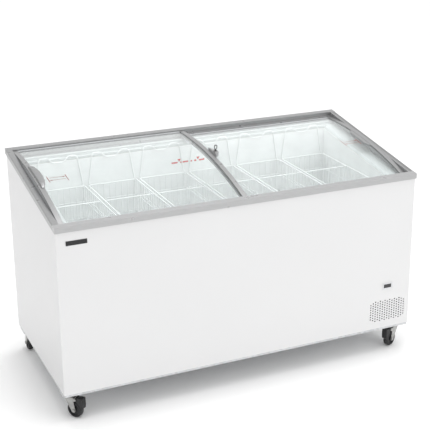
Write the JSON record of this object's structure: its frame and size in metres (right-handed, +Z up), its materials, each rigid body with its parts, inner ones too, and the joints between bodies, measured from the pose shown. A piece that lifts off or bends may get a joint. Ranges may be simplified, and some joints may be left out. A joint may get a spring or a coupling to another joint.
{
  "type": "chest freezer",
  "caption": "Sloped-top white chest freezer on swivel castors with two sliding curved glass lids, a lock and hanging wire baskets.",
  "frame": {"origin": "on the floor under the middle of the cabinet's footprint", "axes": "+X to the right seen from the front, +Y to the back, +Z up"},
  "size_m": [1.504, 0.695, 0.8905],
  "materials": {
    "painted_white": "gloss",
    "galvanised": "satin",
    "liner_white": "satin",
    "foam": "matte",
    "frame_silver": "satin",
    "collar_white": "satin",
    "badge_black": "gloss",
    "bezel_grey": "satin",
    "window_black": "gloss",
    "dark_plastic": "matte",
    "shell_black": "satin",
    "rubber_black": "matte",
    "motor_metal": "satin",
    "fan_plastic": "satin",
    "copper": "satin",
    "lid_glass": "polished",
    "lid_bar_silver": "satin",
    "runner_grey": "satin",
    "lock_chrome": "polished",
    "wire_white": "satin",
    "castor_zinc": "satin",
    "wheel_black": "satin",
    "pedal_black": "satin"
  },
  "bodies": {
    "cabinet": {"front_panel": "painted_white", "left_side_panel": "painted_white", "right_side_panel": "painted_white", "back_panel": "painted_white", "base_pan": "galvanised", "inner_liner": "liner_white", "insulation_foam": "foam", "frame_front_rail": "frame_silver", "frame_back_rail": "frame_silver", "frame_left_cheek": "frame_silver", "frame_right_cheek": "frame_silver", "breaker_collar": "collar_white", "badge_plate": "badge_black", "display_bezel": "bezel_grey", "display_window": "window_black", "controller_box": "dark_plastic", "rear_grille": "painted_white", "compressor": "shell_black", "compressor_feet": "rubber_black", "condenser_coil": "shell_black", "fan_motor": "motor_metal", "filter_drier": "copper", "evaporator_tube": "copper", "refrigerant_pipes": "copper", "drain_plug": "collar_white", "drain_spout": "collar_white", "terminal_box": "dark_plastic", "cover_screws": "galvanised", "castor_plates": "galvanised"},
    "fan": {"fan_blades": "fan_plastic"},
    "upper_lid": {"upper_lid_glass": "lid_glass", "upper_lid_left_bar": "lid_bar_silver", "upper_lid_right_bar": "lid_bar_silver", "upper_lid_handle": "lid_bar_silver", "upper_lid_runners": "runner_grey", "lock_housing": "lid_bar_silver"},
    "lock": {"lock_barrel": "lock_chrome", "lock_key": "lock_chrome"},
    "lower_lid": {"lower_lid_glass": "lid_glass", "lower_lid_left_bar": "lid_bar_silver", "lower_lid_right_bar": "lid_bar_silver", "lower_lid_handle": "lid_bar_silver", "lower_lid_runners": "runner_grey", "lock_keeper": "lock_chrome"},
    "basket_body_1": {"basket_1": "wire_white"},
    "basket_body_2": {"basket_2": "wire_white"},
    "basket_body_3": {"basket_3": "wire_white"},
    "basket_body_4": {"basket_4": "wire_white"},
    "basket_body_5": {"basket_5": "wire_white"},
    "basket_body_6": {"basket_6": "wire_white"},
    "castor_fl": {"castor_fork_fl": "castor_zinc"},
    "wheel_fl": {"castor_wheel_fl": "wheel_black"},
    "castor_fr": {"castor_fork_fr": "castor_zinc"},
    "wheel_fr": {"castor_wheel_fr": "wheel_black"},
    "castor_bl": {"castor_fork_bl": "castor_zinc"},
    "wheel_bl": {"castor_wheel_bl": "wheel_black"},
    "castor_br": {"castor_fork_br": "castor_zinc"},
    "wheel_br": {"castor_wheel_br": "wheel_black"},
    "pedal_fl": {"brake_pedal_fl": "pedal_black"},
    "pedal_fr": {"brake_pedal_fr": "pedal_black"}
  },
  "joints": [
    {"name": "upper_lid_slide", "type": "slide", "parent": "cabinet", "child": "upper_lid", "axis": [1, 0, 0], "range_m": [0, 0.68]},
    {"name": "lower_lid_slide", "type": "slide", "parent": "cabinet", "child": "lower_lid", "axis": [1, 0, 0], "range_m": [-0.68, 0]},
    {"name": "lock_turn", "type": "hinge", "parent": "upper_lid", "child": "lock", "pos_m": [0.023, 0.01839, 0.84137], "axis": [0, 0.1426, -0.9898], "range_deg": [0, 90]},
    {"name": "fan_spin", "type": "hinge", "parent": "cabinet", "child": "fan", "pos_m": [0.636, -0.2, 0.214], "axis": [0, 1, 0], "continuous": true},
    {"name": "basket_lift_1", "type": "slide", "parent": "cabinet", "child": "basket_body_1", "axis": [0, 0, 1], "range_m": [0, 0.008]},
    {"name": "basket_lift_2", "type": "slide", "parent": "cabinet", "child": "basket_body_2", "axis": [0, 0, 1], "range_m": [0, 0.008]},
    {"name": "basket_lift_3", "type": "slide", "parent": "cabinet", "child": "basket_body_3", "axis": [0, 0, 1], "range_m": [0, 0.008]},
    {"name": "basket_lift_4", "type": "slide", "parent": "cabinet", "child": "basket_body_4", "axis": [0, 0, 1], "range_m": [0, 0.008]},
    {"name": "basket_lift_5", "type": "slide", "parent": "cabinet", "child": "basket_body_5", "axis": [0, 0, 1], "range_m": [0, 0.008]},
    {"name": "basket_lift_6", "type": "slide", "parent": "cabinet", "child": "basket_body_6", "axis": [0, 0, 1], "range_m": [0, 0.008]},
    {"name": "castor_swivel_fl", "type": "hinge", "parent": "cabinet", "child": "castor_fl", "pos_m": [-0.713, -0.288, 0.09], "axis": [0, 0, 1], "continuous": true},
    {"name": "wheel_spin_fl", "type": "hinge", "parent": "castor_fl", "child": "wheel_fl", "pos_m": [-0.69822, -0.30691, 0.032], "axis": [0.788, 0.6157, 0], "continuous": true},
    {"name": "brake_pedal_lift_fl", "type": "hinge", "parent": "castor_fl", "child": "pedal_fl", "pos_m": [-0.69391, -0.31243, 0.076], "axis": [-0.788, -0.6157, 0], "range_deg": [0, 15]},
    {"name": "castor_swivel_fr", "type": "hinge", "parent": "cabinet", "child": "castor_fr", "pos_m": [0.713, -0.288, 0.09], "axis": [0, 0, 1], "continuous": true},
    {"name": "wheel_spin_fr", "type": "hinge", "parent": "castor_fr", "child": "wheel_fr", "pos_m": [0.69107, -0.29776, 0.032], "axis": [0.4067, -0.9135, 0], "continuous": true},
    {"name": "brake_pedal_lift_fr", "type": "hinge", "parent": "castor_fr", "child": "pedal_fr", "pos_m": [0.68468, -0.30061, 0.076], "axis": [-0.4067, 0.9135, 0], "range_deg": [0, 15]},
    {"name": "castor_swivel_bl", "type": "hinge", "parent": "cabinet", "child": "castor_bl", "pos_m": [-0.713, 0.29, 0.09], "axis": [0, 0, 1], "continuous": true},
    {"name": "wheel_spin_bl", "type": "hinge", "parent": "castor_bl", "child": "wheel_bl", "pos_m": [-0.713, 0.314, 0.032], "axis": [-1, 0, 0], "continuous": true},
    {"name": "castor_swivel_br", "type": "hinge", "parent": "cabinet", "child": "castor_br", "pos_m": [0.713, 0.29, 0.09], "axis": [0, 0, 1], "continuous": true},
    {"name": "wheel_spin_br", "type": "hinge", "parent": "castor_br", "child": "wheel_br", "pos_m": [0.713, 0.314, 0.032], "axis": [-1, 0, 0], "continuous": true}
  ]
}
